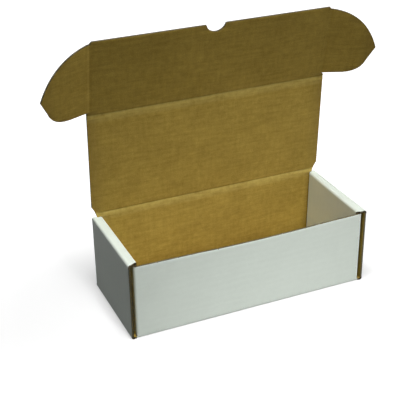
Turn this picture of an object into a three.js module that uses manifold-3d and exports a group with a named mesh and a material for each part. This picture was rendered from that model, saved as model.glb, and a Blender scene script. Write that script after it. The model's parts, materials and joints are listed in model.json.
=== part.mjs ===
// A card storage box: one sheet of corrugated board, white outside and brown inside, cut, creased
// and folded into a tray with rolled double side walls and a hinged lid. The lid's front flap hangs
// outside the front wall, and its two ears tuck into the slots between the plies of the side walls.
// Millimetres, +Z up, the front of the box towards -Y. The origin is the middle of the base.
//
// Every panel is drawn flat in a frame of its own: x runs along the crease that carries the panel,
// y runs away from that crease, the white face is z = 0 and the brown face is one board higher.
// Panels fold towards their brown face about lines on the white face, and meet there in mitres.

import * as THREE from 'three';
import { mergeVertices } from 'three/addons/utils/BufferGeometryUtils.js';
import Module from 'manifold-3d';

// Driving dimensions of the folded box, over its outside
const boxLength = 238;
const boxDepth = 98;
const boxHeight = 76;
const boardThickness = 2.2;

// Clearances
const creaseGap = 0.15; // from a crease's line to each of the two panels that meet there
const restGap = 0.3; // between faces that lie on one another
const earClearance = 0.2; // on each face of an ear in its slot
const earHeadroom = 0.4; // over a tucked ear, under the top strip
const innerWallGap = 1.5; // between the inner side walls and the front and back walls
const overrun = 1; // how far a cutting wedge runs past the board

// Front wall and corner flaps
const frontWallDrop = 1.6; // of its top edge below the top strips
const cornerFlapReach = 42;
const cornerFlapTaper = 3.4; // of its top and bottom edges towards the free end

// Ends of the rolled top strips, cut back from the outer crease to the inner one
const stripBackCut = 5.2;
const stripFrontCuts = { left: 6.5, right: 1.0 };

// Locking tabs of the inner side walls
const tabWidth = 20;
const tabSpacing = 48;
const tabRoundShare = 0.8; // of the board
const tabLift = 0.3; // of a tab's end above the base

// Lid
const lidHingeCutLength = 8; // along the lid, of the slanted corners at the hinge
const lidFrontCutLength = 3; // along the lid, of the slanted corners at the front crease
const lidFrontCutWidth = 1; // across it

// Front flap and its thumb notch
const flapFloorGap = 4; // under the free edge when the box is closed
const flapCornerCut = 2;
const notchWidth = 19;
const notchDepth = 7.5;
const notchFlare = 1.5;

// Ears: reach from their crease, and the points of their outline as shares of reach and height
const earReach = 49.9;
const earTipShare = 0.4; // height of the pointed tip
const earShoulderShares = [0.725, 0.927]; // pulls the long curve from the free edge to the tip
const earHeelStartShares = [0.862, 0.203]; // where the straight below the tip ends
const earHeelPullShares = [0.778, 0.01];
const earHeelEndShare = 0.42; // from here to the crease the lower edge is straight

// How far the lid, the flap and the ears are folded as the box stands open, in degrees
const squareFold = 90;
const lidFold = 3; // forward of straight up from the back wall
const flapFold = 9;
const earFolds = { left: 17, right: 14.5 };

// Curve fineness
const curveSegments = 12;

// Worked out from the sizes above
const earSlot = boardThickness + earClearance * 2;
const sideStack = boardThickness * 3 + earSlot + restGap; // outer wall, slot, corner flap, inner wall
const halfLength = boxLength / 2;
const halfDepth = boxDepth / 2;
const wallHalfWidth = halfLength - boardThickness - earSlot; // front and back wall
const innerHalfDepth = halfDepth - boardThickness - innerWallGap; // inner side walls
const hingeHeight = boxHeight + restGap + boardThickness;
const lidLength = boxDepth + restGap + boardThickness;
const lidFrontHalfWidth = halfLength - lidFrontCutWidth;
const flapHalfWidth = halfLength - boardThickness - earClearance;
const flapLength = hingeHeight - flapFloorGap;
const frontWallHeight = boxHeight - frontWallDrop;
const stripUnderside = boxHeight - boardThickness;
const earLow = hingeHeight - (stripUnderside - earHeadroom); // from the lid's front crease
const earHigh = flapLength - flapCornerCut;

const wasm = await Module();
wasm.setup();

const radians = THREE.MathUtils.degToRad;

function whiteBoard() {
  return new THREE.MeshStandardMaterial({ color: 0xdde1dc, roughness: 0.62, metalness: 0 });
}

function brownBoard() {
  return new THREE.MeshStandardMaterial({ color: 0x9a7d45, roughness: 0.9, metalness: 0 });
}

// A closed three.js geometry as a solid that can be cut
function toSolid(geometry) {
  const bare = geometry.clone();
  bare.deleteAttribute('normal');
  bare.deleteAttribute('uv');
  const merged = mergeVertices(bare);
  const vertProperties = new Float32Array(merged.attributes.position.array);
  const triVerts = new Uint32Array(merged.index.array);
  return new wasm.Manifold(new wasm.Mesh({ numProp: 3, vertProperties, triVerts }));
}

function toGeometry(solid) {
  const mesh = solid.getMesh();
  const geometry = new THREE.BufferGeometry();
  geometry.setAttribute('position', new THREE.BufferAttribute(mesh.vertProperties, 3));
  geometry.setIndex(new THREE.BufferAttribute(mesh.triVerts, 1));
  const faceted = geometry.toNonIndexed();
  faceted.computeVertexNormals();
  return faceted;
}

// What a mitre takes off a panel along a crease. The panel lies to the left of start -> end.
function mitreWedge([startX, startY], [endX, endY]) {
  const wedge = new THREE.Shape();
  wedge.moveTo(creaseGap - overrun, -overrun);
  wedge.lineTo(creaseGap + boardThickness + overrun, boardThickness + overrun);
  wedge.lineTo(creaseGap - overrun * 2, boardThickness + overrun);
  wedge.lineTo(creaseGap - overrun * 2, -overrun);
  wedge.closePath();
  const along = new THREE.Vector3(endX - startX, endY - startY, 0);
  const depth = along.length() + overrun * 2;
  along.normalize();
  const up = new THREE.Vector3(0, 0, 1);
  const inward = new THREE.Vector3().crossVectors(up, along);
  const place = new THREE.Matrix4().makeBasis(inward, up, along);
  place.setPosition(new THREE.Vector3(startX, startY, 0).addScaledVector(along, -overrun));
  return new THREE.ExtrudeGeometry(wedge, { depth, bevelEnabled: false }).applyMatrix4(place);
}

function outline(points) {
  return new THREE.Shape(points.map(([x, y]) => new THREE.Vector2(x, y)));
}

// A panel of board, mitred along each of its creases, and cut through by any further cutters
function panel(name, shape, creases, material, cutters = []) {
  const options = { depth: boardThickness, bevelEnabled: false, curveSegments };
  let solid = toSolid(new THREE.ExtrudeGeometry(shape, options));
  const wedges = creases.map(([start, end]) => mitreWedge(start, end));
  for (const cutter of [...wedges, ...cutters]) {
    solid = solid.subtract(toSolid(cutter));
  }
  const mesh = new THREE.Mesh(toGeometry(solid), material);
  mesh.name = name;
  return mesh;
}

// The frame of the panel that folds up from its parent along a crease through (x, y). The turn
// says which way the new panel runs: 0 is the parent's +y, 90 its -x, 180 its -y and -90 its +x.
function folded(parent, [x, y], turn, fold, piece) {
  const frame = new THREE.Group();
  frame.position.set(x, y, 0);
  frame.rotation.set(radians(fold), 0, radians(turn), 'ZXY');
  frame.add(piece);
  parent.add(frame);
  return frame;
}

function bottomPanel() {
  const corners = [
    [-halfLength, -halfDepth], [halfLength, -halfDepth],
    [halfLength, halfDepth], [-halfLength, halfDepth],
  ];
  const slotMiddle = halfLength - sideStack + boardThickness / 2;
  const slots = [];
  for (const x of [-slotMiddle, slotMiddle]) {
    for (const y of [-tabSpacing / 2, tabSpacing / 2]) {
      const width = boardThickness + restGap * 2;
      const cutter = new THREE.BoxGeometry(width, tabWidth + restGap * 2, boardThickness + overrun * 2);
      slots.push(cutter.translate(x, y, boardThickness / 2));
    }
  }
  const creases = corners.map((corner, i) => [corner, corners[(i + 1) % corners.length]]);
  return panel('bottom_panel', outline(corners), creases, brownBoard(), slots);
}

// The front wall's top corners step down, so that the top strips roll over them
function frontWall() {
  const stepX = halfLength - sideStack - restGap;
  const stepY = stripUnderside - restGap;
  const right = [
    [wallHalfWidth, 0], [wallHalfWidth, stepY],
    [stepX, stepY], [stepX - restGap, frontWallHeight],
  ];
  const left = right.map(([x, y]) => [-x, y]).reverse();
  const creases = [
    [[-wallHalfWidth, 0], [wallHalfWidth, 0]],
    [[wallHalfWidth, 0], [wallHalfWidth, frontWallHeight]],
    [[-wallHalfWidth, frontWallHeight], [-wallHalfWidth, 0]],
  ];
  return panel('front_wall', outline([...right, ...left]), creases, whiteBoard());
}

function backWall() {
  const corners = [
    [-wallHalfWidth, 0], [wallHalfWidth, 0],
    [wallHalfWidth, hingeHeight], [-wallHalfWidth, hingeHeight],
  ];
  const creases = corners.map((corner, i) => [corner, corners[(i + 1) % corners.length]]);
  return panel('back_wall', outline(corners), creases, brownBoard());
}

// A corner flap's crease runs along its x, up the wall's end: side is -1 where that is downwards
function cornerFlap(name, side) {
  const low = boardThickness + restGap;
  const high = stripUnderside - restGap;
  const points = [
    [side * low, 0], [side * high, 0],
    [side * (high - cornerFlapTaper), cornerFlapReach],
    [side * (low + cornerFlapTaper), cornerFlapReach],
  ];
  const ends = [[0, 0], [side * boxHeight, 0]].sort((a, b) => a[0] - b[0]);
  return panel(name, outline(points), [ends], whiteBoard());
}

function outerSideWall(name) {
  const corners = [[-halfDepth, 0], [halfDepth, 0], [halfDepth, boxHeight], [-halfDepth, boxHeight]];
  const creases = [[corners[0], corners[1]], [corners[2], corners[3]]];
  return panel(name, outline(corners), creases, whiteBoard());
}

// Side pieces run along x from the box's front to its back on the left, and the other way on the
// right, so front is the sign of x at the front end
function topStrip(name, front, frontCut) {
  const points = [
    [front * halfDepth, 0], [-front * halfDepth, 0],
    [-front * (halfDepth - stripBackCut), sideStack],
    [front * (halfDepth - frontCut), sideStack],
  ];
  const creases = [
    [[-halfDepth, 0], [halfDepth, 0]],
    [[halfDepth, sideStack], [-halfDepth, sideStack]],
  ];
  return panel(name, outline(points), creases, whiteBoard());
}

function innerSideWall(name, front, frontCut) {
  const wallLength = boxHeight - boardThickness - restGap;
  const tabEnd = boxHeight - tabLift;
  const round = boardThickness * tabRoundShare;
  const creaseFront = Math.min(halfDepth - frontCut, innerHalfDepth);
  const creaseBack = Math.min(halfDepth - stripBackCut, innerHalfDepth);
  const shape = new THREE.Shape();
  shape.moveTo(front * creaseFront, 0);
  shape.lineTo(front * innerHalfDepth, innerHalfDepth - creaseFront + boardThickness);
  shape.lineTo(front * innerHalfDepth, wallLength);
  for (const middle of [front * tabSpacing / 2, -front * tabSpacing / 2]) {
    const near = middle + front * tabWidth / 2;
    const far = middle - front * tabWidth / 2;
    shape.lineTo(near, wallLength);
    shape.lineTo(near, tabEnd - round);
    shape.lineTo(near - front * round, tabEnd);
    shape.lineTo(far + front * round, tabEnd);
    shape.lineTo(far, tabEnd - round);
    shape.lineTo(far, wallLength);
  }
  shape.lineTo(-front * innerHalfDepth, wallLength);
  shape.lineTo(-front * innerHalfDepth, innerHalfDepth - creaseBack + boardThickness);
  shape.lineTo(-front * creaseBack, 0);
  shape.closePath();
  return panel(name, shape, [[[-halfDepth, 0], [halfDepth, 0]]], whiteBoard());
}

function lidPanel() {
  const right = [
    [wallHalfWidth, 0], [halfLength, lidHingeCutLength],
    [halfLength, lidLength - lidFrontCutLength], [lidFrontHalfWidth, lidLength],
  ];
  const left = right.map(([x, y]) => [-x, y]).reverse();
  const creases = [
    [[-halfLength, 0], [halfLength, 0]],
    [[halfLength, lidLength], [-halfLength, lidLength]],
  ];
  return panel('lid_panel', outline([...right, ...left]), creases, brownBoard());
}

// The flap's free edge has a half-round thumb notch with flared lips in its middle
function lidFrontFlap() {
  const radius = (notchWidth ** 2 / 4 + notchDepth ** 2) / (notchDepth * 2);
  const centre = flapLength + radius - notchDepth;
  const lip = flapLength - notchFlare;
  const lipAngle = Math.asin((centre - lip) / radius);
  const lipHalfWidth = radius * Math.cos(lipAngle);
  const shape = new THREE.Shape();
  shape.moveTo(-lidFrontHalfWidth, 0);
  shape.lineTo(lidFrontHalfWidth, 0);
  shape.lineTo(flapHalfWidth, earLow);
  shape.lineTo(flapHalfWidth, earHigh);
  shape.lineTo(flapHalfWidth - flapCornerCut, flapLength);
  shape.lineTo(lipHalfWidth + notchFlare, flapLength);
  shape.quadraticCurveTo(lipHalfWidth, flapLength, lipHalfWidth, lip);
  shape.absarc(0, centre, radius, -lipAngle, lipAngle - Math.PI, true);
  shape.quadraticCurveTo(-lipHalfWidth, flapLength, -lipHalfWidth - notchFlare, flapLength);
  shape.lineTo(-flapHalfWidth + flapCornerCut, flapLength);
  shape.lineTo(-flapHalfWidth, earHigh);
  shape.lineTo(-flapHalfWidth, earLow);
  shape.closePath();
  const creases = [
    [[-lidFrontHalfWidth, 0], [lidFrontHalfWidth, 0]],
    [[flapHalfWidth, earLow], [flapHalfWidth, earHigh]],
    [[-flapHalfWidth, earHigh], [-flapHalfWidth, earLow]],
  ];
  return panel('lid_front_flap', shape, creases, brownBoard());
}

// An ear's crease runs along its x: side is -1 where x runs from the free edge to the lid
function ear(name, side) {
  const height = earHigh - earLow;
  const at = ([reachShare, heightShare]) => [side * (earLow + height * heightShare), earReach * reachShare];
  const shape = new THREE.Shape();
  shape.moveTo(...at([0, 0]));
  shape.lineTo(...at([earHeelEndShare, 0]));
  shape.quadraticCurveTo(...at(earHeelPullShares), ...at(earHeelStartShares));
  shape.lineTo(...at([1, earTipShare]));
  shape.quadraticCurveTo(...at(earShoulderShares), ...at([0, 1]));
  shape.closePath();
  const ends = [[0, 0], [side * flapLength, 0]].sort((a, b) => a[0] - b[0]);
  return panel(name, shape, [ends], brownBoard());
}

// The front and the back wall each carry two corner flaps, folded in behind the side walls
function addWall(tray, wall, y, turn, names) {
  const frame = folded(tray, [0, y], turn, squareFold, wall);
  folded(frame, [-wallHalfWidth, 0], 90, squareFold, cornerFlap(names[0], 1));
  folded(frame, [wallHalfWidth, 0], -90, squareFold, cornerFlap(names[1], -1));
  return frame;
}

// A side wall goes up, over the corner flaps and down again to lock in the bottom
function addSide(tray, side, x, turn, front) {
  const cut = stripFrontCuts[side];
  const outer = folded(tray, [x, 0], turn, squareFold, outerSideWall(`${side}_outer_side_wall`));
  const strip = topStrip(`${side}_top_strip`, front, cut);
  const top = folded(outer, [0, boxHeight], 0, squareFold, strip);
  folded(top, [0, sideStack], 0, squareFold, innerSideWall(`${side}_inner_side_wall`, front, cut));
}

function addLid(backFrame) {
  const lid = folded(backFrame, [0, hingeHeight], 0, lidFold, lidPanel());
  const flap = folded(lid, [0, lidLength], 0, flapFold, lidFrontFlap());
  folded(flap, [-flapHalfWidth, 0], 90, earFolds.left, ear('left_ear', 1));
  folded(flap, [flapHalfWidth, 0], -90, earFolds.right, ear('right_ear', -1));
}

function cardStorageBox() {
  const box = new THREE.Group();
  box.add(bottomPanel());
  addWall(box, frontWall(), -halfDepth, 180, ['front_right_corner_flap', 'front_left_corner_flap']);
  const backNames = ['back_left_corner_flap', 'back_right_corner_flap'];
  const backFrame = addWall(box, backWall(), halfDepth, 0, backNames);
  addSide(box, 'left', -halfLength, 90, -1);
  addSide(box, 'right', halfLength, -90, 1);
  addLid(backFrame);
  return box;
}

export default cardStorageBox();
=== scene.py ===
import json
import math

import bmesh
import bpy
from mathutils import Matrix, Vector


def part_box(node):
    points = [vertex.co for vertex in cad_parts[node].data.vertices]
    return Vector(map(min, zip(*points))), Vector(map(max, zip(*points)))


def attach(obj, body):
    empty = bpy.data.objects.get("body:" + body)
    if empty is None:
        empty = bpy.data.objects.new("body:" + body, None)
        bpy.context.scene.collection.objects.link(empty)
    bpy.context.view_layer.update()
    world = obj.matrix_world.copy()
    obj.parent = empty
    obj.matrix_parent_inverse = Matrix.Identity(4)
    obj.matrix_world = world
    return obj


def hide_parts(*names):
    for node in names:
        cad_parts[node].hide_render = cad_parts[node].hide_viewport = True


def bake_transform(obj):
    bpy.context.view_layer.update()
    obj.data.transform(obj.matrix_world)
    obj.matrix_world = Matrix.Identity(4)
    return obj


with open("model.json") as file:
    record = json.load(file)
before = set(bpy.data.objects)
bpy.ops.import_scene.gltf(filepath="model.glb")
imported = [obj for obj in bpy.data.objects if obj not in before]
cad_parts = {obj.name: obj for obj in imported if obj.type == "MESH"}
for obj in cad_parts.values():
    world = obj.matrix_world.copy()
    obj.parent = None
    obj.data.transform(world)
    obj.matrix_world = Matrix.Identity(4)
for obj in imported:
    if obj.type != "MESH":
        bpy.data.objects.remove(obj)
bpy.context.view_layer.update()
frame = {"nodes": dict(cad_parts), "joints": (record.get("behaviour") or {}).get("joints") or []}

MM = 0.001
X, Y = 0, 1  # a panel's axes: along the crease that carries it, and away from it

# The board
LINER = 0.3 * MM  # each of its two flat papers
FLUTED_PAPER = 0.2 * MM
FLUTE_PITCH = 6.5 * MM
FLUTE_STEPS = 10  # facets in one wave of the fluted paper
WASHBOARD = 0.018 * MM  # how far the flutes show through a liner
WASHBOARD_STEPS = 6  # facets of a liner over one wave
GRID = 14 * MM  # facets along the flutes
SCORE = 3 * MM  # from a fold's line to where the board has its full thickness again
PINCH_WIDTH = 0.9 * MM  # along a cut edge, where the blade has pressed the board together
PINCH_DEPTH = 0.2 * MM
EDGE_WEAR = 0.8  # how worn a cut edge is, from 0 to 1
SAME_PLACE = 0.01 * MM  # points of a pattern that are nearer than this are one
BOARD_SMOOTH_ANGLE = math.radians(35)

# Folds
FOLD_STEPS = 10  # facets across a fold
FOLD_GRID = 7 * MM  # facets along it
FOLD_ROUNDING = 1.9 * MM  # from a fold's line to where its white side is flat again
FOLD_WEAR = 0.5  # how worn a square fold's line is, from 0 to 1
FOLD_WEAR_FADE = 3  # how fast that fades to both sides
FOLD_SMOOTH_ANGLE = math.radians(50)
SCORE_DEPTH = 0.3 * MM  # how far a fold's line is pressed in on the white side
VALLEY_DEPTH = 0.35 * MM  # and on the brown side of a square fold
GROOVE_DEPTH = 0.6 * MM  # in the brown side of the lid's and the flap's fold, which have opened again
EAR_GROOVE_DEPTH = 0.2 * MM
GROOVE_SHIFT = 1.3 * MM  # from the fold's line to the groove's deepest one, on the carried panel
GROOVE_STEP = 1.6 * MM  # from there up to the flat of the carried panel
SHEEN_REACH = 9 * MM  # how far the carrying panel gets a pale painted sheen beside the groove
RIDGE_SHEEN_REACH = 1.4 * MM  # how far that painted sheen is paler still, a painted highlight on the groove's very edge

# The ears' outline on the cut sheet, in shares of an ear's reach and of its height along the flap
EAR_TIP_SHARE = 0.4
EAR_SHOULDER_SHARES = (0.725, 0.927)
EAR_HEEL_START_SHARES = (0.862, 0.203)
EAR_HEEL_PULL_SHARES = (0.778, 0.01)
EAR_HEEL_END_SHARE = 0.42
HEEL_STEPS = 6  # facets of an ear's lower curve
LIP_STEPS = 4  # of a lip of the thumb notch
CURVE_STEPS = 14  # of the larger curves

# Thumb notch, corners and locking tabs
NOTCH_WIDTH = 19 * MM
NOTCH_DEPTH = 7.5 * MM
NOTCH_FLARE = 1.5 * MM
LID_HINGE_CUT = 8 * MM
FLAP_CORNER_CUT = 2 * MM
CORNER_FLAP_TAPER = 3.4 * MM
TAB_WIDTH = 20 * MM
TAB_SPACING = 48 * MM
REST_GAP = 0.3 * MM  # between papers that rest beside each other

# How the walls, the lid and the ears are worn and bent
FRONT_WORN = 0.9 * MM  # off the front wall's top edge, and as much again in its dip
DIP_PLACE = -9 * MM  # along the wall's own x
DIP_REACH = 66 * MM
FRONT_LEAN = 0.15 * MM  # of that edge, outward
FRONT_FADE = 4  # the power with which both fade down the wall
NICK_WIDTH = 1.6 * MM  # of the small tears and raised spots along that edge
NICKS = ((-68, -0.3), (-30, -0.4), (34, 0.7), (72, 0.3), (92, 0.4))  # their places and depths, in mm
LID_BOW = 0.5 * MM  # out of flat, in its middle
EAR_BOW = 0.5 * MM  # at its far end
INNER_LEANS = {"left": 0, "right": 1.6 * MM}  # of the inner side walls' tops, outward at the back

# Colours of the papers
DEEP_BROWN = (0.308, 0.207, 0.037, 1)
LIGHT_BROWN = (0.512, 0.359, 0.072, 1)
FLECK_BROWN = (0.21, 0.135, 0.03, 1)
# Painted sheen: the pale band beside the lid's and the flap's grooves
SHEEN_BROWN = (0.64, 0.51, 0.15, 1)
WORN_BROWN = (0.2, 0.13, 0.035, 1)
DULL_WHITE = (0.735, 0.805, 0.725, 1)
CLEAR_WHITE = (0.795, 0.868, 0.785, 1)
CRACKED_WHITE = (0.5, 0.41, 0.26, 1)
# Cut edges: partly pressed dark by the blade, partly painted shade of the gaps and open flutes
CUT_DARK = (0.02, 0.016, 0.009, 1)
CUT_PALE = (0.11, 0.086, 0.046, 1)
FLUTE_DARK = (0.15, 0.13, 0.07, 1)
FLUTE_PALE = (0.38, 0.33, 0.19, 1)
PURE_WHITE = (1, 1, 1, 1)

# Sizes and places that the frame gives
JOINTS = {joint["name"]: joint for joint in frame["joints"]}
HALF_LENGTH = -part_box("left_outer_side_wall")[0].x
HALF_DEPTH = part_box("left_outer_side_wall")[1].y
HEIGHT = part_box("left_top_strip")[1].z
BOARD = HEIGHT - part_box("left_top_strip")[0].z
WALL_HALF = -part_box("front_left_corner_flap")[0].x  # of the front and the back wall's length
CORNER_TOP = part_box("front_left_corner_flap")[1].z
SIDE_STACK = HALF_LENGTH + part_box("left_inner_side_wall")[1].x  # the thickness of a rolled side
HINGE = Vector(JOINTS["lid_crease"]["pos_m"])
FLAP_HINGE = Vector(JOINTS["flap_crease"]["pos_m"])
FLAP_HALF = JOINTS["right_ear_crease"]["pos_m"][0]
FLAP_WAY = Vector(JOINTS["left_ear_crease"]["axis"])
LID_LENGTH = (FLAP_HINGE - HINGE).length
LID_WAY = (FLAP_HINGE - HINGE).normalized()
# Half the lid's length beside its fold, where its back corners are cut
LID_BACK_HALF = WALL_HALF + (HALF_LENGTH - WALL_HALF) * SCORE / LID_HINGE_CUT
EARS = {-1: "left_ear", 1: "right_ear"}  # by the side of the flap that they are on

# How far the panels are folded
SQUARE = math.pi / 2
LID_FOLD = math.atan2(-LID_WAY.y, LID_WAY.z)
FLAP_FOLD = math.atan2(-FLAP_WAY.y, FLAP_WAY.z) - LID_FOLD
EAR_FOLDS = {ear: math.radians(-JOINTS[f"{ear}_crease"]["range_deg"][0]) for ear in EARS.values()}


class Panel:
    """Where a panel lies: folded in the box, and on the flat sheet that it was cut from. In its own
    frame x runs along its crease, y away from it, and z from its white side to its brown one."""

    def __init__(self, place=None, flat=None):
        self.place = place or Matrix()
        self.flat = flat or Matrix()

    def on(self, x, y, turn):
        """The crease on this panel through x, y, with its own x axis along it."""
        step = Matrix.Translation((x, y, 0)) @ Matrix.Rotation(math.radians(turn), 4, "Z")
        return Panel(self.place @ step, self.flat @ step)

    def folded(self, fold):
        """The panel that folds up from this crease."""
        return Panel(self.place @ Matrix.Rotation(fold, 4, "X"), self.flat)

    def corners(self, node):
        """A CAD node's corners, in this panel's own frame."""
        inverse = self.place.inverted()
        return [inverse @ vertex.co for vertex in frame["nodes"][node].data.vertices]

    def span(self, node):
        """The lowest and the highest place of a CAD node's corners along each axis."""
        corners = self.corners(node)
        low = Vector([min(c[i] for c in corners) for i in range(3)])
        high = Vector([max(c[i] for c in corners) for i in range(3)])
        return low, high


class Wire:
    """A shader socket in an expression: each operator adds the Math node that it stands for."""

    def __init__(self, tree, socket=None):
        self.tree = tree
        self.socket = socket

    def node(self, kind, inputs=None, settings=None, output=0):
        """Adds a node: its settings first, then the values or wires of its inputs. Inputs and the
        output go by name, or by number where names repeat."""
        made = self.tree.nodes.new(kind)
        for name, value in (settings or {}).items():
            setattr(made, name, value)
        for key, value in (inputs or {}).items():
            if isinstance(value, Wire):
                self.tree.links.new(value.socket, made.inputs[key])
            else:
                made.inputs[key].default_value = value
        return Wire(self.tree, made.outputs[output] if made.outputs else None)

    def _math(self, operation, first, second):
        return self.node("ShaderNodeMath", {0: first, 1: second}, {"operation": operation})

    def __add__(self, other):
        return self._math("ADD", self, other)

    def __radd__(self, other):
        return self._math("ADD", other, self)

    def __sub__(self, other):
        return self._math("SUBTRACT", self, other)

    def __rsub__(self, other):
        return self._math("SUBTRACT", other, self)

    def __mul__(self, other):
        return self._math("MULTIPLY", self, other)

    def __rmul__(self, other):
        return self._math("MULTIPLY", other, self)


def new_material(name):
    material = bpy.data.materials.new(name)
    material.use_nodes = True
    material.node_tree.nodes.clear()
    return material, Wire(material.node_tree)


def on_sheet(start):
    """Places on the flat sheet, so that grain runs on over the folds."""
    return start.node("ShaderNodeUVMap", settings={"uv_map": "sheet"})


def in_object(start):
    return start.node("ShaderNodeTexCoord", output="Object")


def carried(start, name):
    """A number that the mesh carries at each of its points."""
    return start.node("ShaderNodeAttribute", settings={"attribute_name": name}, output="Fac")


def stretched(place, x, y):
    return place.node("ShaderNodeVectorMath", {0: place, 1: (x, y, 1)}, {"operation": "MULTIPLY"})


def cloud(place, size, detail=3.0, rough=0.5):
    """Noise around 0, with spots of about the given size."""
    inputs = {"Vector": place, "Scale": 1 / size, "Detail": detail, "Roughness": rough}
    return place.node("ShaderNodeTexNoise", inputs) - 0.5


def over(value, low, high):
    """0 below low, 1 above high, and a smooth step between."""
    inputs = {"Value": value, "From Min": low, "From Max": high}
    return value.node("ShaderNodeMapRange", inputs, {"interpolation_type": "SMOOTHSTEP"})


def mix(share, first, second):
    """The colour that lies between two others."""
    return share.node("ShaderNodeMix", {0: share, 6: first, 7: second}, {"data_type": "RGBA"}, output=2)


def paper(material, start, colour, rough, height, depth, gloss):
    """Finishes a material as paper whose surface rises by the given depth with height."""
    normal = start.node("ShaderNodeBump", {"Height": height, "Distance": depth})
    inputs = {"Base Color": colour, "Roughness": rough, "Normal": normal, "Specular IOR Level": gloss}
    shader = start.node("ShaderNodeBsdfPrincipled", inputs)
    start.node("ShaderNodeOutputMaterial", {"Surface": shader})
    return material


def brown_liner():
    """Plain brown paper: cloudy, faintly grained both ways and flecked. It carries a pale painted sheen
    beside the grooves, and is darker along worn edges."""
    material, start = new_material("brown_liner")
    sheet = on_sheet(start)
    worn = carried(start, "worn")
    painted_sheen = carried(start, "painted_sheen")
    patches = cloud(sheet, 40 * MM)
    clouds = cloud(sheet, 5 * MM, 4, 0.6)
    grain = cloud(sheet, 1.1 * MM, 2, 0.6)
    along = cloud(stretched(sheet, 0.12, 1), 2.6 * MM, 2)
    across = cloud(stretched(sheet, 1, 0.15), 2.6 * MM, 2)
    flecks = over(cloud(stretched(sheet, 0.3, 1), 0.8 * MM, 2, 0.7), 0.14, 0.24)
    tone = 0.5 + patches * 0.8 + clouds * 0.9 + grain * 1.1 + along * 0.8 + across * 0.45
    colour = mix(tone, DEEP_BROWN, LIGHT_BROWN)
    colour = mix(flecks * 0.4, colour, FLECK_BROWN)
    # painted sheen: the pale band beside the lid's and the flap's grooves
    colour = mix(painted_sheen * (0.72 + clouds * 1.4 + along), colour, SHEEN_BROWN)
    colour = mix(worn * 0.4, colour, WORN_BROWN)
    height = clouds + along * 0.7 + grain * 0.8
    return paper(material, start, colour, 0.85 + clouds * 0.3, height, depth=0.05 * MM, gloss=0.15)


def white_liner():
    """White-coated paper with a slight sheen: faintly mottled, cracked to brown along worn edges."""
    material, start = new_material("white_liner")
    sheet = on_sheet(start)
    worn = carried(start, "worn")
    patches = cloud(sheet, 30 * MM)
    clouds = cloud(sheet, 5 * MM, 4, 0.6)
    streaks = cloud(stretched(sheet, 0.08, 1), 2.2 * MM, 2)
    cracks = over(cloud(sheet, 1.2 * MM, 3, 0.7), 0.02, 0.14)
    tone = 0.5 + patches * 0.9 + clouds * 0.9 + streaks * 0.6
    colour = mix(tone, DULL_WHITE, CLEAR_WHITE)
    colour = mix(worn * cracks * 0.45, colour, CRACKED_WHITE)
    rough = 0.6 + clouds * 0.3 + worn * 0.2
    return paper(material, start, colour, rough, clouds + streaks * 0.5, depth=0.03 * MM, gloss=0.2)


def cut_edge():
    """The cut through a liner: pressed dark by the blade and darkened further with painted shade, as of
    the gaps and open flutes, with some paler torn fibres.
    """
    material, start = new_material("cut_edge")
    place = in_object(start)
    fibres = cloud(place, 0.9 * MM, 3, 0.7)
    patches = cloud(place, 7 * MM)
    colour = mix(0.5 + fibres * 1.6 + patches * 1.2, CUT_DARK, CUT_PALE)
    return paper(material, start, colour, 0.9 + fibres * 0.1, fibres, depth=0.1 * MM, gloss=0.2)


def fluted_paper():
    """The fluted paper between the liners, unbleached and rough."""
    material, start = new_material("fluted_paper")
    fibres = cloud(in_object(start), 1 * MM, 3, 0.6)
    colour = mix(0.5 + fibres * 1.6, FLUTE_DARK, FLUTE_PALE)
    return paper(material, start, colour, 0.9 + fibres * 0.1, fibres, depth=0.06 * MM, gloss=0.2)


MATERIALS = [white_liner(), brown_liner(), cut_edge(), fluted_paper()]
WHITE, BROWN, EDGE, FLUTED = range(4)


def distance_to_segment(point, start, end):
    way = end - start
    share = max(0.0, min(1.0, (point - start).dot(way) / way.length_squared))
    return (start + way * share - point).length


def around(corners):
    """Each corner with the next one, all the way round."""
    return list(zip(corners, corners[1:] + corners[:1]))


def unbent(x, y):
    """The warp of a panel that lies flat."""
    return Vector((0, 0, 0))


def painted_sheen_at(distance):
    """How strong the painted sheen is on a panel at a distance from the groove that it carries."""
    if distance < 0:
        return 0.0
    return (max(0.0, 1 - (distance / SHEEN_REACH) ** 2) + max(0.0, 1 - distance / RIDGE_SHEEN_REACH)) / 2


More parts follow.
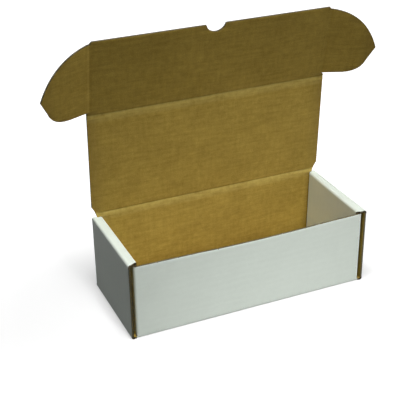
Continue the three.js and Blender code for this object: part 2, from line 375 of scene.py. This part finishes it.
class Board:
    """A panel's flat pattern. Its edges are cut, apart from those that lie on one of its creases,
    which are given as an axis and a place. The warp says how far it bends out of its flat shape.
    Holes are boxes, nicks are places and depths along its top edge, and the last argument is the
    place of the fold beside which the panel gets a pale band of painted sheen."""

    def __init__(self, panel, outline, creased=(), warp=unbent, holes=(), nicks=(), painted_sheen=None):
        self.panel = panel
        self.outline = [Vector((x, y, 0)) for x, y in outline]
        self.warp = warp
        self.holes = holes
        self.nicks = nicks
        self.painted_sheen = painted_sheen
        edges = around(self.outline)
        for left, low, right, high in holes:
            corners = ((left, low), (right, low), (right, high), (left, high))
            edges += around([Vector((x, y, 0)) for x, y in corners])
        self.cut_edges = [edge for edge in edges if not self._is_creased(creased, *edge)]

    @staticmethod
    def _is_creased(creased, start, end):
        return any(abs(start[axis] - place) < SAME_PLACE and abs(end[axis] - place) < SAME_PLACE
                   for axis, place in creased)

    def span(self, axis):
        places = [point[axis] for point in self.outline]
        return min(places), max(places)

    def _cuts(self, axis, step):
        """Where the pattern is cut along an axis: evenly, and at its holes and nicks."""
        low, high = self.span(axis)
        count = max(1, round((high - low) / step))
        places = [low + (high - low) * i / count for i in range(1, count)]
        for hole in self.holes:
            places += [hole[axis], hole[axis + 2]]
        if axis == X:
            for x, _ in self.nicks:
                places += [x - NICK_WIDTH / 2, x, x + NICK_WIDTH / 2]
        return places

    def _cut_holes(self, shape):
        gone = []
        for face in shape.faces:
            x, y, _ = face.calc_center_median()
            if any(left < x < right and low < y < high for left, low, right, high in self.holes):
                gone.append(face)
        bmesh.ops.delete(shape, geom=gone, context="FACES")

    def pattern(self, steps):
        """The outline as a face, cut into a grid with the given steps along x and y."""
        shape = bmesh.new()
        shape.faces.new([shape.verts.new(point) for point in self.outline])
        for axis in (X, Y):
            normal = Vector((1 - axis, axis, 0))
            for place in self._cuts(axis, steps[axis]):
                geometry = shape.verts[:] + shape.edges[:] + shape.faces[:]
                bmesh.ops.bisect_plane(shape, geom=geometry, plane_co=normal * place, plane_no=normal,
                                       dist=SAME_PLACE)
        bmesh.ops.remove_doubles(shape, verts=shape.verts[:], dist=SAME_PLACE)
        self._cut_holes(shape)
        return shape

    def nick(self, point):
        """How deep the free edge at the top of the panel is torn at a point."""
        _, top = self.span(Y)
        if point.y < top - PINCH_WIDTH:
            return 0.0
        return sum(depth * max(0.0, 1 - abs(point.x - x) * 2 / NICK_WIDTH) for x, depth in self.nicks)

    def pinch(self, point):
        """1 on a cut edge, 0 where the board has its full thickness."""
        near = min((distance_to_segment(point, *edge) for edge in self.cut_edges), default=PINCH_WIDTH)
        return max(0.0, 1.0 - near / PINCH_WIDTH)

    def layer(self, steps, low, high, materials):
        """One paper of the board, between two heights that depend on the place and its pinch. The
        materials are those of its lower side, its edge and its upper side."""
        shape = self.pattern(steps)
        worn = shape.verts.layers.float.new("worn")
        painted_sheen = shape.verts.layers.float.new("painted_sheen")
        sheet = shape.loops.layers.uv.new("sheet")
        bottom = shape.faces[:]
        made = bmesh.ops.extrude_face_region(shape, geom=bottom)["geom"]
        top = {vertex for vertex in made if isinstance(vertex, bmesh.types.BMVert)}
        top_faces = {face for face in made if isinstance(face, bmesh.types.BMFace)}
        bottom_faces = set(bottom)
        lower, edge, upper = materials
        for face in shape.faces:
            face.material_index = lower if face in bottom_faces else upper if face in top_faces else edge
            for loop in face.loops:
                loop[sheet].uv = (self.panel.flat @ loop.vert.co).xy
        for vertex in shape.verts:
            point = vertex.co.copy()
            pinch = self.pinch(point)
            vertex[worn] = pinch * EDGE_WEAR
            # painted sheen beside the fold that this panel carries
            if self.painted_sheen is not None:
                vertex[painted_sheen] = painted_sheen_at(self.painted_sheen + GROOVE_SHIFT - point.y)
            vertex.co.z = (high if vertex in top else low)(point, pinch)
            vertex.co.y -= self.nick(point)
            vertex.co += self.warp(point.x, point.y)
        bmesh.ops.recalc_face_normals(shape, faces=shape.faces[:])
        return shape


def papers(board, along):
    """The two liners and the fluted paper of a panel whose flutes run along the given axis."""
    across = 1 - along
    swing = BOARD / 2 - LINER - FLUTED_PAPER / 2

    def steps(count):
        pair = [GRID, GRID]
        pair[across] = FLUTE_PITCH / count
        return pair

    def wave(point):
        return math.sin(2 * math.pi * point[across] / FLUTE_PITCH)

    def white(height):
        return lambda point, pinch: height + PINCH_DEPTH * pinch + WASHBOARD * (1 + wave(point))

    def brown(height):
        return lambda point, pinch: height - PINCH_DEPTH * pinch - WASHBOARD * (1 - wave(point))

    def fluted(side):
        return lambda point, pinch: (BOARD / 2 + (swing - PINCH_DEPTH * pinch) * wave(point)
                                     + side * FLUTED_PAPER / 2)

    liner_steps = steps(WASHBOARD_STEPS)
    return [board.layer(liner_steps, white(0), white(LINER), (WHITE, EDGE, FLUTED)),
            board.layer(liner_steps, brown(BOARD - LINER), brown(BOARD), (FLUTED, EDGE, BROWN)),
            board.layer(steps(FLUTE_STEPS), fluted(-1), fluted(1), (FLUTED, FLUTED, FLUTED))]


def to_object(name, shapes, place, smooth_angle):
    """One object from several bmeshes in a panel's frame, with its place in its mesh."""
    whole = bpy.data.meshes.new(name)
    joined = bmesh.new()
    for shape in shapes:
        part = bpy.data.meshes.new("part")
        shape.to_mesh(part)
        shape.free()
        joined.from_mesh(part)
        bpy.data.meshes.remove(part)
    joined.transform(place)
    joined.to_mesh(whole)
    joined.free()
    for material in MATERIALS:
        whole.materials.append(material)
    whole.shade_smooth()
    whole.set_sharp_from_angle(angle=smooth_angle)
    made = bpy.data.objects.new(name, whole)
    bpy.context.scene.collection.objects.link(made)
    return made


def add_board(name, board, along, body):
    """A finished panel of board that stands for the CAD node of its name."""
    made = to_object(f"{name}_board", papers(board, along), board.panel.place, BOARD_SMOOTH_ANGLE)
    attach(made, body)
    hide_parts(name)


def bezier(start, pull, end, steps):
    """Points on a curve from start to end that a third point pulls towards itself."""
    return [start * (1 - t) ** 2 + pull * (2 * t * (1 - t)) + end * t ** 2
            for t in (i / steps for i in range(steps + 1))]


def fold_ways(fold):
    """The way that the carried panel goes, the way its brown side faces, and the way between."""
    way = Vector((math.cos(fold), math.sin(fold)))
    return way, Vector((-way.y, way.x)), Vector((-math.sin(fold / 2), math.cos(fold / 2)))


def evenly(points):
    """Points across a crease, each with its share of the way to the carried panel."""
    return [(point, i / FOLD_STEPS) for i, point in enumerate(points)]


def white_side(fold):
    """The white side of a fold: rounded, with its line slightly pressed in."""
    way, _, middle = fold_ways(fold)
    start = Vector((-FOLD_ROUNDING, 0))
    bend = bezier(start, middle * SCORE_DEPTH, way * FOLD_ROUNDING, FOLD_STEPS - 2)
    return evenly([Vector((-SCORE, 0))] + bend + [way * SCORE])


def pressed_corner(fold):
    """The brown side of a square fold: both panels round off into a pressed line."""
    way, normal, middle = fold_ways(fold)
    corner = BOARD / math.cos(fold / 2)
    shoulder = max(SCORE, BOARD * math.tan(fold / 2) + REST_GAP)
    return evenly(bezier(Vector((-shoulder, BOARD)), middle * (corner - 2 * VALLEY_DEPTH),
                         way * shoulder + normal * BOARD, FOLD_STEPS))


def opened_groove(fold, depth):
    """The brown side of a fold that has opened again: the carrying panel slopes down into a groove,
    and the carried one steps up out of it."""
    way, normal, _ = fold_ways(fold)
    lead = BOARD * math.tan(fold / 2)
    half = FOLD_STEPS // 2
    slope = SCORE + GROOVE_SHIFT
    rises = [(GROOVE_SHIFT - slope * i / half, i / half) for i in range(half, 0, -1)]
    rises += [(GROOVE_SHIFT + GROOVE_STEP * i / half, i / half) for i in range(half + 1)]
    points = []
    for place, rise in rises + [(SCORE, 1)]:
        height = BOARD - depth * (1 - rise) ** 2
        along = lead + (SCORE - lead) * abs(place) / SCORE
        point = Vector((-along, height)) if place < 0 else way * along + normal * height
        points.append((point, 0.5 + place / SCORE / 2))
    return points


def fold_bar(fold, groove):
    """A crease of unit length along x, open with a groove of a depth, or square where that is None.
    Its layer "across" says how far each point lies across it."""
    white = white_side(fold)
    brown = pressed_corner(fold) if groove is None else opened_groove(fold, groove)
    shape = bmesh.new()
    worn = shape.verts.layers.float.new("worn")
    painted_sheen = shape.verts.layers.float.new("painted_sheen")
    across = shape.verts.layers.float.new("across")
    section = []
    for point, share in white + brown[::-1]:
        vertex = shape.verts.new((0, point.x, point.y))
        vertex[across] = share
        if groove is None:
            vertex[worn] = max(0.0, 1 - abs(share - 0.5) * FOLD_WEAR_FADE) * FOLD_WEAR
        # painted sheen on the carrying side of the lid's and the flap's grooves
        if groove == GROOVE_DEPTH:
            vertex[painted_sheen] = painted_sheen_at((1 - share * 2) * SCORE + GROOVE_SHIFT)
        section.append(vertex)
    whites = set(section[:len(white)])
    end = shape.faces.new(section)
    made = bmesh.ops.extrude_face_region(shape, geom=[end], use_keep_orig=True)["geom"]
    moved = [vertex for vertex in made if isinstance(vertex, bmesh.types.BMVert)]
    bmesh.ops.translate(shape, verts=moved, vec=(1, 0, 0))
    for face in shape.faces:
        near = [vertex for vertex in face.verts if vertex.co.x == 0]
        count = sum(vertex in whites for vertex in near)
        is_end = len(near) != 2
        face.material_index = EDGE if is_end or count == 1 else WHITE if count == 2 else BROWN
    return shape, across


def lay_fold(shape, across, flat_place, ends, warp):
    """Stretches a unit crease between its ends, in short steps, and gives it its place on the sheet."""
    sheet = shape.loops.layers.uv.new("sheet")
    long_edges = [edge for edge in shape.edges if edge.verts[0].co.x != edge.verts[1].co.x]
    count = max(1, round(abs(ends[1][0] - ends[0][0]) / FOLD_GRID))
    bmesh.ops.subdivide_edges(shape, edges=long_edges, cuts=count - 1, use_grid_fill=True)
    for vertex in shape.verts:
        first, last = (end[0] + (end[1] - end[0]) * vertex[across] for end in ends)
        vertex.co.x = first + (last - first) * vertex.co.x
    for face in shape.faces:
        for loop in face.loops:
            y = (loop.vert[across] * 2 - 1) * SCORE
            loop[sheet].uv = (flat_place @ Vector((loop.vert.co.x, y, 0))).xy
    for vertex in shape.verts:
        vertex.co += warp(vertex.co.x, vertex[across])
    bmesh.ops.recalc_face_normals(shape, faces=shape.faces[:])


def add_fold(name, crease, ends, fold, body=None, bodies=None, warp=unbent, groove=None):
    """A crease along its own x between two ends. An end is its x on the panel that carries the fold
    and its x on the panel that is carried. One between two bodies has a groove. The warp depends on
    the place along the crease and on the share of the way across it."""
    shape, across = fold_bar(fold, groove)
    lay_fold(shape, across, crease.flat, ends, warp)
    made = to_object(name, [shape], crease.place, FOLD_SMOOTH_ANGLE)
    if bodies:
        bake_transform(made)
    else:
        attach(made, body)


def mirrored(right, middle=()):
    """An outline's right half, what lies in its middle, and the right half mirrored to close it."""
    return right + list(middle) + [(-x, y) for x, y in reversed(right)]


def both_ways(half):
    """The ends of a crease that is as long on both of its panels."""
    return [(-half, -half), (half, half)]


def add_bottom(bottom):
    """The bottom, with a slot for each locking tab."""
    inner_x = HALF_LENGTH - SCORE
    inner_y = HALF_DEPTH - SCORE
    outline = mirrored([(WALL_HALF, -inner_y), (WALL_HALF, -HALF_DEPTH), (inner_x, -HALF_DEPTH),
                        (inner_x, HALF_DEPTH), (WALL_HALF, HALF_DEPTH), (WALL_HALF, inner_y)])
    slot_x = HALF_LENGTH - SIDE_STACK + BOARD / 2
    slot_y = TAB_SPACING / 2
    half_width = BOARD / 2 + REST_GAP
    half_length = TAB_WIDTH / 2 + REST_GAP
    slots = [(x - half_width, y - half_length, x + half_width, y + half_length)
             for x in (-slot_x, slot_x) for y in (-slot_y, slot_y)]
    creased = [(X, inner_x), (X, -inner_x), (Y, inner_y), (Y, -inner_y)]
    board = Board(bottom, outline, creased, holes=slots)
    add_board("bottom_panel", board, X, "tray")


def front_warp(x, y):
    """The front wall's free edge is worn down and leans out a touch, most near its middle."""
    ends = max(0.0, 1 - (x / WALL_HALF) ** 2)
    dip = max(0.0, 1 - ((x - DIP_PLACE) / DIP_REACH) ** 2)
    return Vector((0, -FRONT_WORN * (ends + dip), -FRONT_LEAN * ends)) * (y / CORNER_TOP) ** FRONT_FADE


def add_front_wall(panel):
    side_x = WALL_HALF - SCORE
    outline = mirrored([(side_x, SCORE), (side_x, CORNER_TOP)])
    creased = [(X, side_x), (X, -side_x), (Y, SCORE)]
    nicks = [(x * MM, depth * MM) for x, depth in NICKS]
    board = Board(panel, outline, creased, warp=front_warp, nicks=nicks)
    add_board("front_wall", board, X, "tray")


def add_back_wall(panel):
    side_x = WALL_HALF - SCORE
    top = HINGE.z - SCORE
    outline = mirrored([(side_x, SCORE), (side_x, CORNER_TOP),
                        (WALL_HALF, CORNER_TOP), (WALL_HALF, top)])
    creased = [(X, side_x), (X, -side_x), (Y, SCORE), (Y, top)]
    # a pale painted sheen below the lid's fold
    board = Board(panel, outline, creased, painted_sheen=HINGE.z)
    add_board("back_wall", board, X, "tray")


def leaned(most, to_back):
    """How far an inner side wall's top leans out: not at all in front, and the most at its back."""
    return most * to_back ** 2


def add_corner_flap(name, wall, side, most=0.0):
    """A corner flap and its fold. The side is that of the wall's own x. Where the inner side wall
    leans out, the flap at the back goes with it."""

    def lean(x, y):
        return leaned(most, 1 - y / HALF_DEPTH / 2) * abs(x) / HEIGHT

    crease = wall.on(side * WALL_HALF, 0, -90 * side)
    panel = crease.folded(SQUARE)
    low, high = panel.span(name)
    outline = [(low.x, SCORE), (high.x, SCORE),
               (high.x - CORNER_FLAP_TAPER, high.y), (low.x + CORNER_FLAP_TAPER, high.y)]
    board = Board(panel, outline, [(Y, SCORE)], warp=lambda x, y: Vector((0, 0, -lean(x, y))))
    add_board(name, board, Y, "tray")
    ends = sorted((-side * SCORE, -side * max(abs(low.x), abs(high.x))))
    add_fold(f"{name}_fold", crease, [(x, x) for x in ends], SQUARE, "tray",
             warp=lambda x, across: Vector((0, lean(x, SCORE) * across, 0)))


class Lean:
    """How a side's inner wall leans out at its top, which makes the top strip narrower."""

    def __init__(self, side, sign):
        self.most = INNER_LEANS[side]
        self.sign = sign

    def at(self, x):
        """How far the inner wall's top leans, at a place along the side."""
        return leaned(self.most, 0.5 - self.sign * x / HALF_DEPTH / 2)

    def strip(self, x, y):
        return Vector((0, -self.at(x) * (y - SCORE) / (SIDE_STACK - SCORE), 0))

    def fold(self, x, across):
        before = (SIDE_STACK - 2 * SCORE) / (SIDE_STACK - SCORE)
        if across < 0.5:
            return Vector((0, -self.at(x) * (before + (1 - before) * across * 2), 0))
        return Vector((0, -self.at(x) * (1 - (across * 2 - 1) * SCORE / HEIGHT), 0))

    def inner(self, x, y):
        return Vector((0, 0, self.at(x) * max(0.0, 1 - y / HEIGHT)))


def add_outer_side_wall(side, crease, panel):
    """The outer wall of a side, and the fold that it stands up from."""
    add_fold(f"{side}_base_fold", crease, both_ways(HALF_DEPTH), SQUARE, "tray")
    top = HEIGHT - SCORE
    outline = mirrored([(HALF_DEPTH, SCORE), (HALF_DEPTH, top)])
    board = Board(panel, outline, [(Y, SCORE), (Y, top)])
    add_board(f"{side}_outer_side_wall", board, Y, "tray")


def strip_ends(node, panel):
    """The lower and the higher end of a top strip, each as its x on the outer and the inner crease."""
    corners = panel.corners(node)
    outer = [c.x for c in corners if c.y < SIDE_STACK / 2]
    inner = [c.x for c in corners if c.y > SIDE_STACK / 2]
    return (min(outer), min(inner)), (max(outer), max(inner))


def add_top_strip(side, crease, panel, ends, lean):
    """The strip over a side's rim, and its outer fold. Gives where the strip's board ends inside."""
    near = SCORE / SIDE_STACK
    far = SIDE_STACK - SCORE
    start_outer, end_outer = (outer + (inner - outer) * near for outer, inner in ends)
    start_inner, end_inner = (outer + (inner - outer) * (1 - near) for outer, inner in ends)
    add_fold(f"{side}_rim_outer_fold", crease, [(-HALF_DEPTH, start_outer), (HALF_DEPTH, end_outer)],
             SQUARE, "tray")
    outline = [(start_outer, SCORE), (end_outer, SCORE), (end_inner, far), (start_inner, far)]
    board = Board(panel, outline, [(Y, SCORE), (Y, far)], warp=lean.strip)
    add_board(f"{side}_top_strip", board, Y, "tray")
    return start_inner, end_inner


def tab_points(wall_end, tip):
    """The lower edge of an inner side wall, along its two locking tabs."""
    points = []
    for middle in (TAB_SPACING / 2, -TAB_SPACING / 2):
        right = middle + TAB_WIDTH / 2
        left = middle - TAB_WIDTH / 2
        points += [(right, wall_end), (right, tip - BOARD), (right - BOARD, tip),
                   (left + BOARD, tip), (left, tip - BOARD), (left, wall_end)]
    return points


def add_inner_side_wall(side, crease, panel, strip, ends, lean):
    """The inner wall of a side with its tabs, and the fold that it hangs down from. The top strip's
    board ends at strip, and its crease at ends."""
    low, high = panel.span(f"{side}_inner_side_wall")
    start = max(ends[0][1], low.x)
    end = min(ends[1][1], high.x)
    add_fold(f"{side}_rim_inner_fold", crease, [(strip[0], start), (strip[1], end)], SQUARE,
             "tray", warp=lean.fold)
    wall_end = HEIGHT - BOARD - REST_GAP
    outline = [(start, SCORE), (end, SCORE)]
    if high.x > end:
        outline.append((high.x, SCORE + (high.x - end) + BOARD))
    outline += [(high.x, wall_end)] + tab_points(wall_end, high.y) + [(low.x, wall_end)]
    if start > low.x:
        outline.append((low.x, SCORE + (start - low.x) + BOARD))
    board = Board(panel, outline, [(Y, SCORE)], warp=lean.inner)
    add_board(f"{side}_inner_side_wall", board, Y, "tray")


def add_side(side, bottom):
    """A side wall goes up, over the corner flaps and down again to lock in the bottom."""
    sign = -1 if side == "left" else 1
    lean = Lean(side, sign)
    base = bottom.on(sign * HALF_LENGTH, 0, -90 * sign)
    outer = base.folded(SQUARE)
    outer_rim = outer.on(0, HEIGHT, 0)
    strip = outer_rim.folded(SQUARE)
    inner_rim = strip.on(0, SIDE_STACK, 0)
    ends = strip_ends(f"{side}_top_strip", strip)
    add_outer_side_wall(side, base, outer)
    strip_inner = add_top_strip(side, outer_rim, strip, ends, lean)
    add_inner_side_wall(side, inner_rim, inner_rim.folded(SQUARE), strip_inner, ends, lean)


def lid_warp(x, y):
    """The lid bows out a touch between its creases."""
    share = math.sin(math.pi * (y - SCORE) / (LID_LENGTH - 2 * SCORE)) * (1 - (x / HALF_LENGTH) ** 2)
    return Vector((0, 0, LID_BOW)) * share


def add_lid(panel):
    end = LID_LENGTH - SCORE
    outline = mirrored([(LID_BACK_HALF, SCORE), (HALF_LENGTH, LID_HINGE_CUT), (HALF_LENGTH, end)])
    # a pale painted sheen below the flap's fold
    board = Board(panel, outline, [(Y, SCORE), (Y, end)], warp=lid_warp, painted_sheen=LID_LENGTH)
    add_board("lid_panel", board, X, "lid")


def notch(top):
    """The thumb notch in the flap's free edge: its right lip, and the curve between its lips."""
    radius = (NOTCH_WIDTH ** 2 / 4 + NOTCH_DEPTH ** 2) / (NOTCH_DEPTH * 2)
    centre = top + radius - NOTCH_DEPTH
    angle = math.asin((centre - top + NOTCH_FLARE) / radius)
    turn = math.pi - 2 * angle
    lip_x = radius * math.cos(angle)
    lip = bezier(Vector((lip_x + NOTCH_FLARE, top)), Vector((lip_x, top)),
                 Vector((lip_x, top - NOTCH_FLARE)), LIP_STEPS)
    angles = [-angle - turn * i / CURVE_STEPS for i in range(1, CURVE_STEPS)]
    curve = [(radius * math.cos(a), centre + radius * math.sin(a)) for a in angles]
    return [(point.x, point.y) for point in lip], curve


def ear_edges(flap, side):
    """Where an ear's crease begins and ends along the flap, and how far the ear reaches."""
    name = EARS[side]
    panel = flap.on(side * FLAP_HALF, 0, -90 * side).folded(EAR_FOLDS[name])
    low, high = panel.span(name)
    near, far = sorted((abs(low.x), abs(high.x)))
    return near, far, high.y


def add_flap(panel):
    """The lid's front flap, with the thumb notch in its free edge."""
    top = panel.span("lid_front_flap")[1].y
    near, far, _ = ear_edges(panel, 1)
    side_x = FLAP_HALF - SCORE
    right = [(HALF_LENGTH, SCORE), (FLAP_HALF, near), (side_x, near), (side_x, far),
             (FLAP_HALF, far), (FLAP_HALF - FLAP_CORNER_CUT, top)]
    lip, curve = notch(top)
    board = Board(panel, mirrored(right + lip, curve), [(X, side_x), (X, -side_x), (Y, SCORE)])
    add_board("lid_front_flap", board, X, "front_flap")


def ear_outline(side, near, far, reach):
    """An ear's outline on the panel, from the lower end of its crease round to the upper one."""

    def at(out, up):
        return Vector((-side * (near + (far - near) * up), reach * out))

    heel = bezier(at(EAR_HEEL_END_SHARE, 0), at(*EAR_HEEL_PULL_SHARES),
                  at(*EAR_HEEL_START_SHARES), HEEL_STEPS)
    shoulder = bezier(at(1, EAR_TIP_SHARE), at(*EAR_SHOULDER_SHARES), at(0, 1), CURVE_STEPS)
    curves = heel + shoulder
    kept = [point for point in curves if point.y > SCORE]
    last, after = kept[-1], curves[curves.index(kept[-1]) + 1]
    start = at(0, 0).lerp(heel[0], SCORE / heel[0].y)
    end = last.lerp(after, (last.y - SCORE) / (last.y - after.y))
    return [(point.x, point.y) for point in [start] + kept + [end]]


def add_ear(side, flap):
    """An ear of the front flap, with the fold that joins them."""
    name = EARS[side]
    body = f"{name}_body"
    near, far, reach = ear_edges(flap, side)
    crease = flap.on(side * FLAP_HALF, 0, -90 * side)
    outline = ear_outline(side, near, far, reach)
    board = Board(crease.folded(EAR_FOLDS[name]), outline, [(Y, SCORE)],
                  warp=lambda x, y: Vector((0, 0, EAR_BOW)) * (y / reach) ** 2)
    add_board(name, board, Y, body)
    ends = sorted([(-side * near, outline[0][0]), (-side * far, outline[-1][0])])
    add_fold(f"{name}_fold", crease, ends, EAR_FOLDS[name],
             bodies=("front_flap", body), groove=EAR_GROOVE_DEPTH)


def add_tray():
    """The part of the box that holds the cards. Gives its back wall, which carries the lid."""
    bottom = Panel()
    front_crease = bottom.on(0, -HALF_DEPTH, 180)
    back_crease = bottom.on(0, HALF_DEPTH, 0)
    front = front_crease.folded(SQUARE)
    back = back_crease.folded(SQUARE)
    add_bottom(bottom)
    add_fold("front_base_fold", front_crease, both_ways(WALL_HALF), SQUARE, "tray")
    add_fold("back_base_fold", back_crease, both_ways(WALL_HALF), SQUARE, "tray")
    add_front_wall(front)
    add_back_wall(back)
    add_corner_flap("front_right_corner_flap", front, -1)
    add_corner_flap("front_left_corner_flap", front, 1)
    add_corner_flap("back_left_corner_flap", back, -1, INNER_LEANS["left"])
    add_corner_flap("back_right_corner_flap", back, 1, INNER_LEANS["right"])
    add_side("left", bottom)
    add_side("right", bottom)
    return back


def add_cover(back):
    """The lid, its front flap and the flap's ears, with the folds between them."""
    lid_crease = back.on(0, HINGE.z, 0)
    lid = lid_crease.folded(LID_FOLD)
    flap_crease = lid.on(0, LID_LENGTH, 0)
    flap = flap_crease.folded(FLAP_FOLD)
    add_lid(lid)
    lid_ends = [(-WALL_HALF, -LID_BACK_HALF), (WALL_HALF, LID_BACK_HALF)]
    add_fold("lid_fold", lid_crease, lid_ends, LID_FOLD,
             bodies=("tray", "lid"), groove=GROOVE_DEPTH)
    add_flap(flap)
    add_fold("flap_fold", flap_crease, both_ways(HALF_LENGTH), FLAP_FOLD,
             bodies=("lid", "front_flap"), groove=GROOVE_DEPTH)
    add_ear(-1, flap)
    add_ear(1, flap)


def add_camera():
    """The photograph's view: the eye's place, the way it looks, its roll and its lens."""
    eye = Vector((-0.3467, -0.7311, 0.5117))
    azimuth, elevation, roll = (math.radians(a) for a in (-23.946, 27.963, -0.646))
    back = Vector((math.sin(azimuth) * math.cos(elevation), -math.cos(azimuth) * math.cos(elevation),
                   math.sin(elevation)))
    level = Vector((math.cos(azimuth), math.sin(azimuth), 0))
    upright = back.cross(level)
    right = level * math.cos(roll) + upright * math.sin(roll)
    up = back.cross(right)
    data = bpy.data.cameras.new("camera")
    data.lens = 85.0
    data.sensor_width = 36
    data.clip_start = 0.05
    camera = bpy.data.objects.new("camera", data)
    camera.matrix_world = Matrix((
        (right.x, up.x, back.x, eye.x), (right.y, up.y, back.y, eye.y),
        (right.z, up.z, back.z, eye.z), (0, 0, 0, 1)))
    bpy.context.scene.collection.objects.link(camera)
    bpy.context.scene.camera = camera


def seen_by_eye(start):
    """1 for rays from the camera or off a shiny or clear surface, 0 for light that bounces."""
    camera, glossy, clear = (start.node("ShaderNodeLightPath", output=f"Is {ray} Ray")
                             for ray in ("Camera", "Glossy", "Transmission"))
    settings = {"operation": "ADD", "use_clamp": True}
    return start.node("ShaderNodeMath", {0: camera + glossy, 1: clear}, settings)


def floor_paper():
    """White paper that keeps soft shadows near the box and sends little light back up."""
    material, start = new_material("floor_paper")
    pale = start.node("ShaderNodeBsdfDiffuse", {"Color": (0.9, 0.9, 0.9, 1)})
    glow = start.node("ShaderNodeEmission", {"Color": PURE_WHITE, "Strength": 1.3})
    around_box = stretched(in_object(start), 0.5, 1)
    away = start.node("ShaderNodeVectorMath", {0: around_box}, {"operation": "LENGTH"}, output="Value")
    share = 0.35 + 0.65 * over(away, 0.07, 0.25)
    shown = start.node("ShaderNodeMixShader", {0: share, 1: pale, 2: glow})
    bounce = start.node("ShaderNodeBsdfDiffuse", {"Color": (0.1, 0.1, 0.1, 1)})
    whole = start.node("ShaderNodeMixShader", {0: seen_by_eye(start), 1: bounce, 2: shown})
    start.node("ShaderNodeOutputMaterial", {"Surface": whole})
    return material


def add_floor():
    shape = bmesh.new()
    bmesh.ops.create_circle(shape, cap_ends=True, segments=64, radius=8)
    mesh = bpy.data.meshes.new("floor")
    shape.to_mesh(mesh)
    shape.free()
    mesh.materials.append(floor_paper())
    floor = bpy.data.objects.new("floor", mesh)
    bpy.context.scene.collection.objects.link(floor)


def add_lamp(name, place, target, size, power, spread=180):
    """A soft square lamp that looks from its place to its target."""
    data = bpy.data.lights.new(name, "AREA")
    data.size = size
    data.energy = power
    data.spread = math.radians(spread)
    lamp = bpy.data.objects.new(name, data)
    lamp.location = place
    lamp.rotation_mode = "QUATERNION"
    lamp.rotation_quaternion = (Vector(place) - Vector(target)).to_track_quat("Z", "Y")
    lamp.visible_camera = False
    bpy.context.scene.collection.objects.link(lamp)


def add_lamps():
    """A low lamp in front whose light fades up the lid, one close above, one right, one behind."""
    box_middle = (0, 0, 0.08)
    add_lamp("low_lamp", (0.08, -1.0, 0.67), (0.03, -0.08, -0.09), size=0.25, power=0.435, spread=36)
    add_lamp("top_lamp", (-0.09, -0.14, 0.89), box_middle, size=0.2, power=5.0)
    add_lamp("right_lamp", (1.9, -0.6, 0.6), box_middle, size=0.6, power=11.5)
    add_lamp("back_lamp", (-0.2, 2.0, 0.6), box_middle, size=0.9, power=15)


def add_room():
    """A dim room that looks white to the eye."""
    world = bpy.data.worlds.new("studio")
    bpy.context.scene.world = world
    world.use_nodes = True
    world.node_tree.nodes.clear()
    start = Wire(world.node_tree)
    strength = 0.03 + seen_by_eye(start) * 0.97
    sky = start.node("ShaderNodeBackground", {"Color": PURE_WHITE, "Strength": strength})
    start.node("ShaderNodeOutputWorld", {"Surface": sky})
    bpy.context.scene.view_settings.view_transform = "Standard"


add_camera()
add_floor()
add_lamps()
add_room()
add_cover(add_tray())
